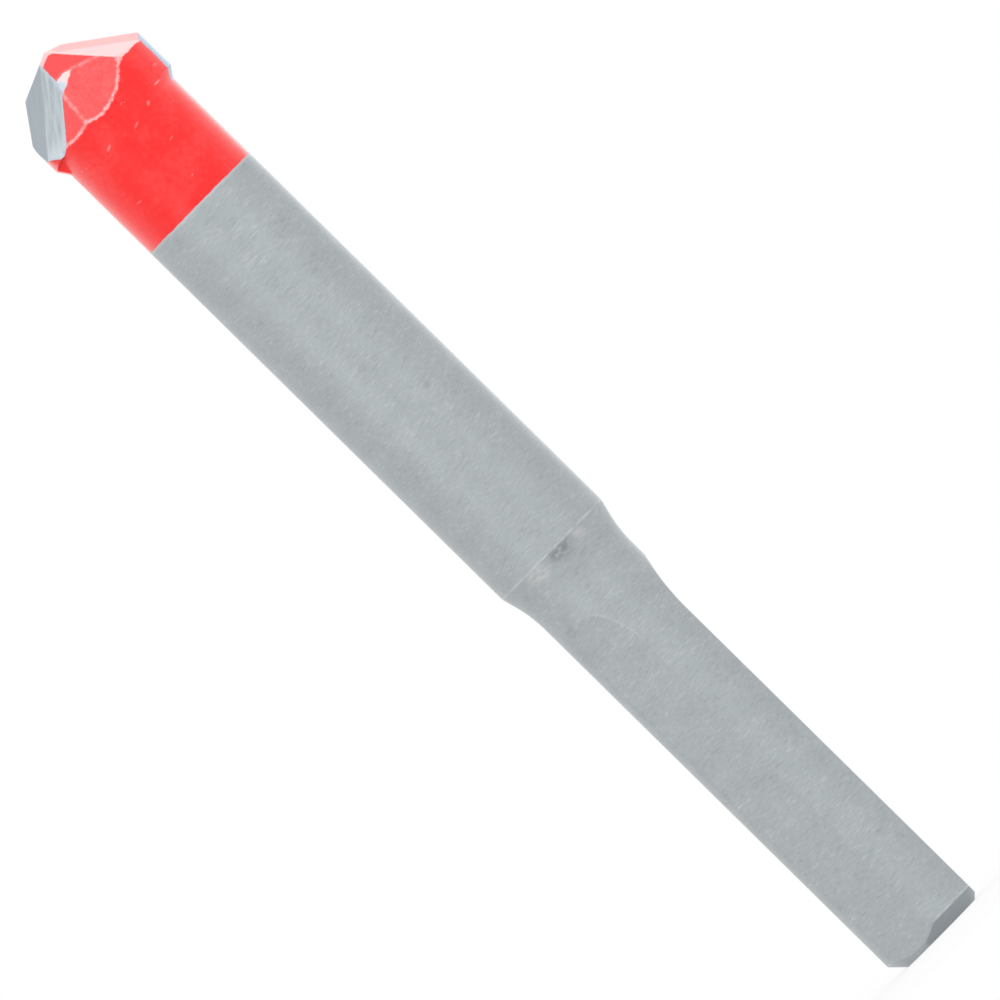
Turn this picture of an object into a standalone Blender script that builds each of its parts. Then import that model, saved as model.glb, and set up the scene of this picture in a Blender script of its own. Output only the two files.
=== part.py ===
"""Glass and tile drill bit: a carbide head with two cutting margins, brazed to a turned steel shank.

The shank has three flats. The bit stands on its shank end, as on a bench. Its axis is Z, the point is up,
and the origin is the centre of the end face. Turned positions round the axis are degrees from -Y, the
front, towards +X.
Run it with: blender --background --python part.py, or from the text editor. Lengths are metres.
"""

from collections import namedtuple
from math import atan, cos, pi, radians, sin, sqrt, tan

import bmesh
import bpy
from mathutils import Matrix, Vector

MM = 0.001

# Lengths along the bit
OVERALL_LENGTH = 101.6 * MM  # four inches, point to shank end
HEAD_LENGTH = 8.9 * MM  # point to the brazed joint
PAINT_LENGTH = 17.5 * MM  # point to the edge of the red lacquer
BODY_LENGTH = 57.4 * MM  # point to the shoulder
FLAT_LENGTH = 33.2 * MM  # full-depth part of each flat, from the shank end

# Diameters
HEAD_DIAMETER = 12.7 * MM  # the half-inch hole, over the two cutting margins
BODY_DIAMETER = 11.4 * MM
SHANK_DIAMETER = 10.0 * MM

# Two cutting margins stand proud of the head's round, left and right. Each has a wall on its leading side
# and runs out into the round behind it. back is the distance from the point to the end of its full width,
# and length is the distance to where it has run out.
MARGIN_LEAD = 1.4 * MM  # how far past the axis its leading wall stands
MARGIN_SINK = 0.05 * MM  # how far the end of its run-out lies inside the round
Margin = namedtuple("Margin", "side back length")
MARGINS = {
    "right_margin": Margin(1, 7.55 * MM, 8.85 * MM),
    "left_margin": Margin(-1, 7.95 * MM, 8.5 * MM),
}

# Turned details
TAPER_HALF_ANGLE = 15.0  # degrees, from the shoulder down to the shank
TAPER_BLEND_RADIUS = 12.0 * MM  # hollow round where the taper meets the shank
SHOULDER_ROUND = 0.25 * MM  # broken edge of the shoulder
END_CHAMFER = 1.15 * MM  # at 45 degrees round the shank end

# Three flats that stop the shank from slipping in the chuck
FLAT_COUNT = 3
FLAT_DEPTH = 0.7 * MM  # below the round of the shank
FIRST_FLAT_TURN = 90.0  # degrees
WHEEL_RADIUS = 21.0 * MM  # of the grinding wheel, which leaves the run-out

# The very point: a short chisel edge that lies front to back, a little left of the axis
POINT_OFFSET = 0.16 * MM
RIGHT_POINT_ANGLE = 71.5  # degrees from the axis
LEFT_POINT_ANGLE = 67.1  # degrees from the axis

# Faces of the ground point. Each is a plane: turn is the side of the bit that it faces, half_angle is its
# angle to the axis, and above_point is the height over the point at which the plane crosses the axis. A bare
# face was ground after the lacquer went on.
Ground = namedtuple("Ground", "turn half_angle above_point bare")
GROUND_FACES = {
    "point_land": Ground(90.0, RIGHT_POINT_ANGLE, -POINT_OFFSET / tan(radians(RIGHT_POINT_ANGLE)), True),
    "right_edge_land": Ground(90.0, 53.5, 0.47 * MM, True),
    "right_flank": Ground(53.3, 47.2, 0.80 * MM, True),
    "front_cheek": Ground(-3.6, 30.2, 3.00 * MM, False),
    "front_leading_face": Ground(-38.2, 27.4, 3.96 * MM, False),
    "left_leading_face": Ground(-44.1, 30.1, 2.96 * MM, True),
    "left_bevel": Ground(-58.4, 35.6, 2.12 * MM, True),
    "left_flank_inner": Ground(-90.0, LEFT_POINT_ANGLE, POINT_OFFSET / tan(radians(LEFT_POINT_ANGLE)), True),
    "left_flank_outer": Ground(-90.0, 35.7, 4.04 * MM, True),
    "back_cheek": Ground(176.4, 30.2, 3.00 * MM, False),
    "back_leading_face": Ground(141.8, 27.4, 3.96 * MM, False),
}

# Fineness of the meshes
ROUND_STEPS = 96  # facets round a turned piece
ARC_STEPS = 6  # chords along a blend of the profile
WHEEL_STEPS = 14  # chords along the run-out of a flat
BLANK_SPARE = 1.0 * MM  # blank left over the point before it is ground
CUTTER_SPARE = 2.0 * MM  # how far a cutter runs past what it cuts
WELD_DISTANCE = 0.001 * MM  # points closer than this are one
SHARP_ANGLE = 12.0  # degrees, past which an edge is drawn sharp

STEEL = ("sandblasted_steel", (0.43, 0.46, 0.47), 0.55, 0.9)
LACQUER = ("red_lacquer", (0.94, 0.065, 0.065), 0.4, 0.0)
CARBIDE = ("ground_carbide", (0.46, 0.53, 0.58), 0.38, 0.9)


def height(from_point):
    """Height over the shank end of a place given as its distance back from the point."""
    return OVERALL_LENGTH - from_point


def facing(turn):
    """Unit vector square to the axis that points to a turned position, 0 at the front (-Y), 90 at +X."""
    return Vector((sin(radians(turn)), -cos(radians(turn)), 0.0))


def clear_scene():
    """Removes every object that the file starts with."""
    for thing in list(bpy.data.objects):
        bpy.data.objects.remove(thing, do_unlink=True)


def new_collection(name):
    """Makes a collection under the scene's own."""
    group = bpy.data.collections.new(name)
    bpy.context.scene.collection.children.link(group)
    return group


def new_material(name, colour, roughness, metallic):
    """Makes a plain Principled material."""
    material = bpy.data.materials.new(name)
    material.use_nodes = True
    shader = material.node_tree.nodes["Principled BSDF"]
    shader.inputs["Base Color"].default_value = (*colour, 1.0)
    shader.inputs["Roughness"].default_value = roughness
    shader.inputs["Metallic"].default_value = metallic
    material.diffuse_color = (*colour, 1.0)
    return material


def turned_piece(name, profile, group):
    """Turns a profile of (radius, height) points, from top to bottom, into a mesh round the Z axis."""
    mesh = bpy.data.meshes.new(name)
    points = [(radius, 0.0, z) for radius, z in profile]
    edges = [(i, i + 1) for i in range(len(points) - 1)]
    mesh.from_pydata(points, edges, [])
    piece = bpy.data.objects.new(name, mesh)
    group.objects.link(piece)
    turn = piece.modifiers.new("turn", "SCREW")
    turn.axis = "Z"
    turn.angle = 2 * pi
    turn.steps = ROUND_STEPS
    turn.render_steps = ROUND_STEPS
    turn.use_merge_vertices = True
    turn.merge_threshold = WELD_DISTANCE
    bpy.context.view_layer.update()
    piece.data = made_mesh(piece)
    piece.modifiers.clear()
    piece.data.shade_smooth()
    piece.data.set_sharp_from_angle(angle=radians(SHARP_ANGLE))
    return piece


def made_mesh(piece):
    """The mesh that an object's modifiers or its curve give, with doubles welded and faces pointing out."""
    evaluated = piece.evaluated_get(bpy.context.evaluated_depsgraph_get())
    mesh = bpy.data.meshes.new_from_object(evaluated)
    work = bmesh.new()
    work.from_mesh(mesh)
    bmesh.ops.remove_doubles(work, verts=work.verts, dist=WELD_DISTANCE)
    bmesh.ops.recalc_face_normals(work, faces=work.faces)
    work.to_mesh(mesh)
    work.free()
    return mesh


def as_cutter(piece):
    """Hides a cutter from the render and draws it as wire."""
    piece.hide_render = True
    piece.display_type = "WIRE"


def cut(piece, cutter):
    """Takes a cutter away from a piece with an exact Boolean. The cut face gets the cutter's material."""
    boolean = piece.modifiers.new(cutter.name, "BOOLEAN")
    boolean.operation = "DIFFERENCE"
    boolean.object = cutter
    boolean.material_mode = "TRANSFER"


def join(piece, other):
    """Adds another object to a piece with an exact Boolean."""
    boolean = piece.modifiers.new(other.name, "BOOLEAN")
    boolean.operation = "UNION"
    boolean.object = other
    boolean.material_mode = "TRANSFER"


def head_profile():
    """Outer side of the head's blank: a round bar of the body's size, up past the point."""
    body = BODY_DIAMETER / 2
    return [
        (0.0, height(-BLANK_SPARE)),
        (body, height(-BLANK_SPARE)),
        (body, height(HEAD_LENGTH)),
        (0.0, height(HEAD_LENGTH)),
    ]


def margin_profile(margin):
    """Outer side of one margin's own round, which has the body's size and is tapered in at its back end."""
    body = BODY_DIAMETER / 2
    return [
        (0.0, height(-BLANK_SPARE)),
        (body, height(-BLANK_SPARE)),
        (body, height(margin.back)),
        (body - margin_stand() - MARGIN_SINK, height(margin.length)),
        (0.0, height(margin.length)),
    ]


def margin_stand():
    """How far a margin stands proud of the body's round, which is also how far its own round is set over."""
    return (HEAD_DIAMETER - BODY_DIAMETER) / 2


def arc(centre, radius, start, end, steps):
    """Points of (radius, height) along an arc, between two angles in radians."""
    turns = [start + (end - start) * i / steps for i in range(steps + 1)]
    return [(centre[0] + radius * cos(turn), centre[1] + radius * sin(turn)) for turn in turns]


def shank_profile():
    """Outer side of the steel: body, shoulder, taper with a hollow blend, shank and end chamfer."""
    body = BODY_DIAMETER / 2
    shank = SHANK_DIAMETER / 2
    slope = radians(TAPER_HALF_ANGLE)
    shoulder = height(BODY_LENGTH)

    round_tangent = SHOULDER_ROUND * tan(slope / 2)
    round_centre = (body - SHOULDER_ROUND, shoulder + round_tangent)
    shoulder_round = arc(round_centre, SHOULDER_ROUND, 0.0, -slope, ARC_STEPS)

    taper_foot = shoulder - (body - shank) / tan(slope)
    blend_centre = (shank + TAPER_BLEND_RADIUS, taper_foot - TAPER_BLEND_RADIUS * tan(slope / 2))
    taper_blend = arc(blend_centre, TAPER_BLEND_RADIUS, pi - slope, pi, ARC_STEPS)

    return [
        (0.0, height(HEAD_LENGTH)),
        (body, height(HEAD_LENGTH)),
        (body, height(PAINT_LENGTH)),
        *shoulder_round,
        *taper_blend,
        (shank, END_CHAMFER),
        (shank - END_CHAMFER, 0.0),
        (0.0, 0.0),
    ]


def grinding_block(name, face, group):
    """A block whose lower side is the plane of one ground face, as wide as the whole head."""
    size = 4 * HEAD_DIAMETER
    slope = radians(face.half_angle)
    outward = facing(face.turn) * cos(slope) + Vector((0.0, 0.0, sin(slope)))
    on_axis = Vector((0.0, 0.0, height(-face.above_point)))
    bpy.ops.mesh.primitive_cube_add(size=size)
    block = bpy.context.object
    block.name = name
    block.rotation_euler = outward.to_track_quat("Z", "Y").to_euler()
    block.location = on_axis + outward * size / 2
    move_to(block, group)
    as_cutter(block)
    return block


def move_to(piece, group):
    """Moves an object from the collections that hold it to one collection."""
    for holder in list(piece.users_collection):
        holder.objects.unlink(piece)
    group.objects.link(piece)


def flat_cutter_outline():
    """Outline of (height, distance from the axis): the flat, then the wheel's arc up through the round."""
    seat = SHANK_DIAMETER / 2 - FLAT_DEPTH
    outside = SHANK_DIAMETER / 2 + CUTTER_SPARE
    climb = outside - seat
    last = atan(sqrt(WHEEL_RADIUS**2 - (WHEEL_RADIUS - climb) ** 2) / (WHEEL_RADIUS - climb))
    turns = [last * i / WHEEL_STEPS for i in range(WHEEL_STEPS + 1)]
    run_out = [
        (FLAT_LENGTH + WHEEL_RADIUS * sin(turn), seat + WHEEL_RADIUS * (1 - cos(turn)))
        for turn in turns
    ]
    return [(-CUTTER_SPARE, seat), *run_out, (-CUTTER_SPARE, outside)]


def flat_cutter(name, turn, group):
    """The flat's outline, extruded across the shank and turned to its side of the bit."""
    curve = bpy.data.curves.new(name + "_outline", "CURVE")
    curve.dimensions = "2D"
    curve.fill_mode = "BOTH"
    curve.extrude = SHANK_DIAMETER
    outline = flat_cutter_outline()
    spline = curve.splines.new("POLY")
    spline.points.add(len(outline) - 1)
    for point, (along, out) in zip(spline.points, outline):
        point.co = (along, out, 0.0, 1.0)
    spline.use_cyclic_u = True
    drawing = bpy.data.objects.new(name + "_outline", curve)
    group.objects.link(drawing)
    bpy.context.view_layer.update()
    cutter = bpy.data.objects.new(name, made_mesh(drawing))
    bpy.data.objects.remove(drawing, do_unlink=True)
    group.objects.link(cutter)
    up = Vector((0.0, 0.0, 1.0))
    out = facing(turn)
    cutter.matrix_world = Matrix((up, out, up.cross(out))).transposed().to_4x4()
    as_cutter(cutter)
    return cutter


def cutting_margin(name, measures, lacquer, group):
    """One margin: a round set over to its side (1 right, -1 left), cut off flat at its leading wall."""
    side = measures.side
    margin = turned_piece(name, margin_profile(measures), group)
    margin.data.materials.append(lacquer)
    margin.location.x = side * margin_stand()
    size = 4 * HEAD_DIAMETER
    bpy.ops.mesh.primitive_cube_add(size=size)
    wall = bpy.context.object
    wall.name = name + "_wall"
    wall.location = (0.0, side * (MARGIN_LEAD + size / 2), height(HEAD_LENGTH))
    wall.data.materials.append(lacquer)
    move_to(wall, group)
    as_cutter(wall)
    cut(margin, wall)
    as_cutter(margin)
    return margin


def make_head(group, cutters, lacquer, carbide):
    """The carbide head: a round blank and two margins in lacquer, with the faces of the point ground on."""
    head = turned_piece("carbide_head", head_profile(), group)
    head.data.materials.append(lacquer)
    for name, measures in MARGINS.items():
        join(head, cutting_margin(name, measures, lacquer, cutters))
    for name, face in GROUND_FACES.items():
        block = grinding_block("grind_" + name, face, cutters)
        block.data.materials.append(carbide if face.bare else lacquer)
        cut(head, block)
    return head


def make_shank(group, cutters, lacquer, steel):
    """The steel shank: one turned piece, lacquered at its upper end, with flats ground at its lower end."""
    shank = turned_piece("steel_shank", shank_profile(), group)
    shank.data.materials.append(steel)
    shank.data.materials.append(lacquer)
    for face in shank.data.polygons:
        face.material_index = int(face.center.z > height(PAINT_LENGTH))
    for number in range(FLAT_COUNT):
        turn = FIRST_FLAT_TURN + 360.0 * number / FLAT_COUNT
        wheel = flat_cutter(f"flat_wheel_{number + 1}", turn, cutters)
        wheel.data.materials.append(steel)
        cut(shank, wheel)
    return shank


def build():
    """Builds the whole bit."""
    clear_scene()
    parts = new_collection("glass_and_tile_drill_bit")
    cutters = new_collection("cutters")
    lacquer = new_material(*LACQUER)
    head = make_head(parts, cutters, lacquer, new_material(*CARBIDE))
    shank = make_shank(parts, cutters, lacquer, new_material(*STEEL))
    bit = bpy.data.objects.new("bit", None)
    parts.objects.link(bit)
    for piece in (head, shank):
        piece.parent = bit


build()
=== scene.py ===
# %% [markdown]
# # The looks of a glass and tile drill bit
#
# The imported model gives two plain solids: a carbide head with a ground point and a turned steel shank. This
# lesson lays a fine skin over each of them and gives the skins their finishes: sandblasted steel, red
# lacquer that is worn off the edges, and bare ground carbide. The bit stands on its shank end with the
# point up. Lengths are in metres. The front of the bit is -Y, and a turned position is an angle from the
# front to +X.

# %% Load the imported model
import math

import bpy
import numpy as np
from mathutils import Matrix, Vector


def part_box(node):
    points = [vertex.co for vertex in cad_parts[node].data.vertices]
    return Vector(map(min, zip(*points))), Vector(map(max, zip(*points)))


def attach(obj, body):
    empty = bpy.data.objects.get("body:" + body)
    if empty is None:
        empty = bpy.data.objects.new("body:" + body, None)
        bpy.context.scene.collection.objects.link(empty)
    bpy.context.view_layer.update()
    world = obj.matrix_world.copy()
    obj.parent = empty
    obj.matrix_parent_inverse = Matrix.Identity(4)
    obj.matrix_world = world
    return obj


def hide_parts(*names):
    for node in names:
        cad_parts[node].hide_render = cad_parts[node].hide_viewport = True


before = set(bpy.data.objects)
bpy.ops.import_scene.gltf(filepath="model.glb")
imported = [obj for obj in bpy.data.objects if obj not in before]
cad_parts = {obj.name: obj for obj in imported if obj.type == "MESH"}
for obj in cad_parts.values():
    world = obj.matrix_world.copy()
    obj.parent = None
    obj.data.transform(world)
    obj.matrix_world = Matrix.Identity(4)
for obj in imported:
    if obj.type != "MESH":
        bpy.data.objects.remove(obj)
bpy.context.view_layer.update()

MM = 0.001
head_low, head_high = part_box("carbide_head")
_, shank_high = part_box("steel_shank")

# %% [markdown]
# ## Sizes
#
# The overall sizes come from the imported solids. The turned and ground details have no node of their own, so
# their sizes are written here as real sizes. Each place along the bit is its distance back from the point,
# the way a drill grinder would give it.

# %% Sizes from the model
POINT_HEIGHT = head_high.z
HEAD_RADIUS = head_high.x
JOINT_HEIGHT = head_low.z
BODY_RADIUS = shank_high.x
print("point at", round(POINT_HEIGHT / MM, 2), "mm, head radius", round(HEAD_RADIUS / MM, 2), "mm")

# %% Sizes of the turned and ground details
PAINT_LENGTH = 17.5 * MM
BODY_LENGTH = 57.4 * MM
SHANK_RADIUS = 5.0 * MM
TAPER_HALF_ANGLE = math.radians(15.0)
TAPER_BLEND_RADIUS = 12.0 * MM
END_CHAMFER = 1.15 * MM
FLAT_SEAT = 4.3 * MM  # distance of a flat from the axis
FLAT_LENGTH = 33.2 * MM
FLAT_TURNS = (90.0, 210.0, 330.0)
WHEEL_RADIUS = 21.0 * MM  # of the grinding wheel that cuts the flats
SKIN = 0.001 * MM  # the skins stay this far inside the solids


def height(from_point):
    """Height over the shank end of a place given by its distance back from the point."""
    return POINT_HEIGHT - from_point


print("the shoulder is", round(height(BODY_LENGTH) / MM, 1), "mm over the shank end")

# %% [markdown]
# ## Camera
#
# The photograph looks square at the axis, with the bit lying across the picture from the upper left to the
# lower right. A standing bit and a camera rolled about its own view give the same picture. A long lens far
# away keeps the sides parallel, because the photograph shows no perspective.

# %% Place the camera
LENS = 1500.0
SENSOR = 36.0
FRAME_WIDTH = 80.83 * MM  # what the picture shows from side to side, at the axis
AXIS_SLOPE = math.radians(44.56)  # of the bit, down to the right in the picture
PICTURE_CENTRE = (-0.082 * MM, 50.0 * MM)  # x and z of the picture's middle
CAMERA_DISTANCE = FRAME_WIDTH * LENS / SENSOR
CLIP = (0.01, 40.0)


def place_camera():
    """Looks along +Y; the picture's right-hand direction is +X turned down towards -Z by the axis slope."""
    data = bpy.data.cameras.new("photo_camera")
    data.lens = LENS
    data.sensor_width = SENSOR
    data.clip_start, data.clip_end = CLIP
    camera = bpy.data.objects.new("photo_camera", data)
    bpy.context.scene.collection.objects.link(camera)
    camera.location = (PICTURE_CENTRE[0], -CAMERA_DISTANCE, PICTURE_CENTRE[1])
    camera.rotation_euler = (math.pi / 2, math.pi / 2 - AXIS_SLOPE, 0.0)
    bpy.context.scene.camera = camera


place_camera()
print("the camera stands", round(CAMERA_DISTANCE, 3), "m in front of the axis")

# %% [markdown]
# ## Meshes from two parameters
#
# Both skins are grids: one parameter runs round the axis and the other from pole to pole along the piece.
# The points are worked out as whole arrays. The grid's last column joins its first, and each pole is one
# point with a fan of triangles, so the skin is closed like the solid under it.

# %% Turn a grid of points into a closed mesh
SHARP_FROM = math.radians(50.0)  # faces that meet at more than this keep a crisp edge


def grid_faces(rows, columns):
    """Corner numbers of the quads between rows, and of the two fans of triangles that close on the poles."""
    here = np.arange(columns)
    after = (here + 1) % columns
    row = np.arange(rows - 1)[:, None] * columns
    below = row + columns
    quads = np.stack([row + here, below + here, below + after, row + after], -1).reshape(-1, 4)
    first_pole = rows * columns
    first_fan = np.stack([np.full(columns, first_pole), here, after], -1)
    last_row = (rows - 1) * columns
    last_fan = np.stack([np.full(columns, first_pole + 1), last_row + after, last_row + here], -1)
    return quads, np.vstack([first_fan, last_fan])


def closed_skin(name, points, first_pole, last_pole):
    """Mesh of a grid (rows, columns, 3) that is closed round its columns and by a pole at each end.

    Rows run from the first pole to the last, and columns run so that faces look outwards.
    """
    vertices = np.vstack([points.reshape(-1, 3), [first_pole], [last_pole]])
    quads, fans = grid_faces(*points.shape[:2])
    loops = np.concatenate([quads.ravel(), fans.ravel()])
    sizes = np.concatenate([np.full(len(quads), 4), np.full(len(fans), 3)])
    mesh = bpy.data.meshes.new(name)
    mesh.vertices.add(len(vertices))
    mesh.vertices.foreach_set("co", vertices.astype(np.float32).ravel())
    mesh.loops.add(len(loops))
    mesh.loops.foreach_set("vertex_index", loops.astype(np.int32))
    mesh.polygons.add(len(sizes))
    mesh.polygons.foreach_set("loop_start", np.concatenate([[0], np.cumsum(sizes)[:-1]]).astype(np.int32))
    mesh.update(calc_edges=True)
    mesh.validate()
    mesh.shade_smooth()
    mesh.set_sharp_from_angle(angle=SHARP_FROM)
    piece = bpy.data.objects.new(name, mesh)
    bpy.context.scene.collection.objects.link(piece)
    print(name, "has", len(quads) * 2 + len(fans), "triangles")
    return piece


# %% Numbers carried by the mesh, and soft edges
def add_field(piece, name, values):
    """Stores one number for each point of the grid, then one for each pole, copied from the row beside it."""
    flat = np.concatenate([values.ravel(), [values[0].mean()], [values[-1].mean()]])
    attribute = piece.data.attributes.new(name, "FLOAT", "POINT")
    attribute.data.foreach_set("value", flat.astype(np.float32))


def soft_least(stack, softness):
    """Smooth minimum down the first axis: minus softness times log of the sum of exp(-value / softness)."""
    least = stack.min(0)
    return least - softness * np.log(np.exp((least - stack) / softness).sum(0))


print("two equal distances meet", round(-float(soft_least(np.zeros(2), 0.018)), 4), "mm inside their edge")

# %% [markdown]
# ## The steel shank
#
# The real shank is turned from bar, and three flats are ground along its thin end so that the chuck can't
# slip. It could be a profile on a Screw modifier with Booleans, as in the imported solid, but a Boolean
# leaves hard edges and sandblasting rounds them. Here the skin is a height field on the axis: at each
# height and angle the radius is the softest least of the turned profile and the three flats.

# %% The turned radius
EDGE_SOFTNESS = 0.018 * MM  # rounding that the blasting leaves on ground edges
SHOULDER_SOFTNESS = 0.0125 * MM  # a little crisper where the taper leaves the body
WHEEL_SHARE = 0.9  # of its radius that the grinding wheel may climb, so that the root stays real


def turned_radius(z):
    """Radius of the turned profile at each height, from straight lines and an arc.

    Under the shoulder the side is a cone of the taper's half angle, and an arc of 12 mm eases the cone into
    the shank. The end has a 45 degree chamfer.
    """
    shoulder = height(BODY_LENGTH)
    slope = math.tan(TAPER_HALF_ANGLE)
    cone = BODY_RADIUS - (shoulder - z) * slope
    foot = shoulder - (BODY_RADIUS - SHANK_RADIUS) / slope
    arc_low = foot - TAPER_BLEND_RADIUS * math.tan(TAPER_HALF_ANGLE / 2)
    arc_high = arc_low + TAPER_BLEND_RADIUS * math.sin(TAPER_HALF_ANGLE)
    rise = np.clip(z - arc_low, 0.0, arc_high - arc_low)
    blend = SHANK_RADIUS + TAPER_BLEND_RADIUS - np.sqrt(TAPER_BLEND_RADIUS**2 - rise**2)
    taper = np.where(z > arc_high, cone, blend)
    body = soft_least(np.stack([np.full_like(z, BODY_RADIUS), taper]), SHOULDER_SOFTNESS)
    chamfer = SHANK_RADIUS - END_CHAMFER + z
    return soft_least(np.stack([body, chamfer]), EDGE_SOFTNESS)


def flat_distance(z):
    """Distance of a flat from the axis: its seat, then the grinding wheel's arc climbing out of the steel."""
    climb = np.clip(z - FLAT_LENGTH, 0.0, WHEEL_RADIUS * WHEEL_SHARE)
    return FLAT_SEAT + WHEEL_RADIUS - np.sqrt(WHEEL_RADIUS**2 - climb**2)


three_places = np.array([0.0, FLAT_LENGTH, height(PAINT_LENGTH)])
print("turned radius in mm at the end, past the flats and at the paint:", turned_radius(three_places) / MM)

# %% Rows and columns of the shank's grid
FLAT_EDGE = math.degrees(math.acos(FLAT_SEAT / SHANK_RADIUS))
EVEN_STEP = 1.5  # degrees between the columns of the shank
FAN = np.arange(-2.4, 2.41, 0.3)  # degrees round an edge of a flat at which more columns stand


def shank_rows():
    """Heights of the rows: close together where the profile bends, far apart where it is straight."""
    shoulder = height(BODY_LENGTH)
    paint_end = height(PAINT_LENGTH)
    # Each stretch: the height where it starts and its number of rows
    stretches = (
        (0.0, 40), (1.9 * MM, 26), (FLAT_LENGTH - 1.0 * MM, 92), (shoulder - 0.6 * MM, 22),
        (shoulder + 0.5 * MM, 20), (paint_end - 0.5 * MM, 18),
    )
    ends = [start for start, _ in stretches[1:]]
    rows = [np.linspace(low, high, count, endpoint=False) for (low, count), high in zip(stretches, ends)]
    low, count = stretches[-1]
    return np.concatenate([*rows, np.linspace(low, JOINT_HEIGHT, count)])


def shank_columns():
    """Angles round the axis: even, with a dense fan of columns over both long edges of each flat."""
    edges = [turn + side * FLAT_EDGE + FAN for turn in FLAT_TURNS for side in (-1, 1)]
    turns = np.concatenate([np.arange(0.0, 360.0, EVEN_STEP), *edges]) % 360.0
    return np.radians(np.unique(np.round(turns, 3)))


print("the shank's grid has", len(shank_rows()), "rows and", len(shank_columns()), "columns")


# %% Make the shank's skin
LEAST_COSINE = 0.05  # a flat is far away in directions that hardly face it


def make_shank():
    """Points at radius times (sin, -cos) of the angle, where the radius is the least of profile and flats."""
    z = shank_rows()
    turn = shank_columns()
    profile = np.repeat(turned_radius(z)[:, None], len(turn), 1)
    facing = [np.maximum(np.cos(turn - math.radians(centre)), LEAST_COSINE) for centre in FLAT_TURNS]
    flats = [flat_distance(z)[:, None] / cosine for cosine in facing]
    radius = soft_least(np.stack([profile, *flats]), EDGE_SOFTNESS) - SKIN
    heights = np.repeat(z[:, None], len(turn), 1)
    points = np.stack([radius * np.sin(turn), -radius * np.cos(turn), heights], -1)
    shank = closed_skin("steel_shank_skin", points[::-1], (0.0, 0.0, JOINT_HEIGHT), (0.0, 0.0, 0.0))
    flat_gap = np.stack(flats).min(0) - profile  # under zero on a flat
    add_field(shank, "flat_gap", flat_gap[::-1] / MM)
    return shank


shank = make_shank()

# %% [markdown]
# ## The carbide head
#
# Carbide is too hard to turn, so the head is pressed, brazed on and ground with diamond wheels. Every
# ground face is a plane, and the head is what is left inside all the planes and the round side. Two cutting
# margins stand proud of the round, left and right: each is full width behind its leading wall and falls
# away behind that, so that it doesn't rub in the hole. Seen from a point inside the head, the skin lies at
# the least distance of all those surfaces in each direction. That is one formula for the whole head, and a
# soft least rounds every edge.

# %% The ground faces
POINT_OFFSET = 0.16 * MM  # of the very tip from the axis
POINT_ANGLES = (71.5, 67.1)


def over_axis(angle):
    """Height at which a plane through the offset point, at an angle to the axis, crosses the axis."""
    return POINT_OFFSET / math.tan(math.radians(angle))


# Each face: the side of the bit that it faces, its angle to the axis, and the height over the point at which
# its plane crosses the axis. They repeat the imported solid's faces.
GROUND_FACES = {
    "point_land": (90.0, POINT_ANGLES[0], -over_axis(POINT_ANGLES[0])),
    "right_edge_land": (90.0, 53.5, 0.47 * MM),
    "right_flank": (53.3, 47.2, 0.80 * MM),
    "front_cheek": (-3.6, 30.2, 3.00 * MM),
    "front_leading_face": (-38.2, 27.4, 3.96 * MM),
    "left_leading_face": (-44.1, 30.1, 2.96 * MM),
    "left_bevel": (-58.4, 35.6, 2.12 * MM),
    "left_flank_inner": (-90.0, POINT_ANGLES[1], over_axis(POINT_ANGLES[1])),
    "left_flank_outer": (-90.0, 35.7, 4.04 * MM),
    "back_cheek": (176.4, 30.2, 3.00 * MM),
    "back_leading_face": (141.8, 27.4, 3.96 * MM),
}
print("the point is ground in", len(GROUND_FACES), "faces")

# %% The round side and its two margins
MARGIN_STAND = HEAD_RADIUS - BODY_RADIUS
MARGIN_LEAD = 1.4 * MM  # how far past the axis a margin's flat leading wall stands
RELIEF = 68.0  # degrees over which a margin falls away behind
RELIEF_CURVE = 1.3  # over 1 the fall starts sooner
RUN_OUT_CURVE = 1.15
LIP = 1.5 * MM  # how much further ahead the left margin reaches, where the left face cuts into it
LIP_FOOT = (7.60 * MM, 7.08 * MM)  # from and to these places back from the point the lip grows
# Each margin's middle, how far back from the point it keeps its full width and has run out, and its lip
MARGINS = ((90.0, 7.93 * MM, 8.89 * MM, 0.0), (270.0, 7.55 * MM, 8.52 * MM, LIP))


def eased(value):
    """Smooth step from 0 to 1, level at both ends: three squares less two cubes."""
    value = np.clip(value, 0.0, 1.0)
    return value * value * (3.0 - 2.0 * value)


def ahead_of(turn, middle):
    """Degrees from a margin's middle on towards its leading side, from -180 to 180."""
    return (np.degrees(turn) - middle + 180.0) % 360.0 - 180.0


def round_radius(turn, z):
    """Radius of the head's side: the body's round, plus each margin times its run-out along the axis.

    On its leading side a margin ends at a flat wall, where the radius is the wall's distance over the sine.
    Behind its middle it is eased away over the relief angle.
    """
    stand = 0.0
    above_foot = eased((z - height(LIP_FOOT[0])) / (LIP_FOOT[0] - LIP_FOOT[1]))
    for middle, full, end, lip in MARGINS:
        ahead = ahead_of(turn, middle)
        lead = MARGIN_LEAD + lip * above_foot
        run_out = np.clip((z - height(end)) / (end - full), 0.0, 1.0) ** RUN_OUT_CURVE
        wall_radius = lead / np.sin(np.radians(np.clip(ahead, 1.0, 90.0)))
        wall = np.clip((wall_radius - BODY_RADIUS) / MARGIN_STAND, 0.0, 1.0)
        relief = eased((ahead + RELIEF) / RELIEF) ** RELIEF_CURVE
        stand = stand + np.where(ahead > 0.0, wall, relief) * run_out
    return BODY_RADIUS + MARGIN_STAND * stand


print("the margins stand", round(MARGIN_STAND / MM, 2), "mm proud of the round")

# %% Distances from inside the head
HEAD_CENTRE_DEPTH = 4.6 * MM  # of the point inside the head, back from the tip
FAR = 1.0  # stands for a surface that a direction never meets
LEAST_FACING = 1e-4
ROUND_STEPS = 40  # after which the place where a direction meets the round no longer moves


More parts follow.
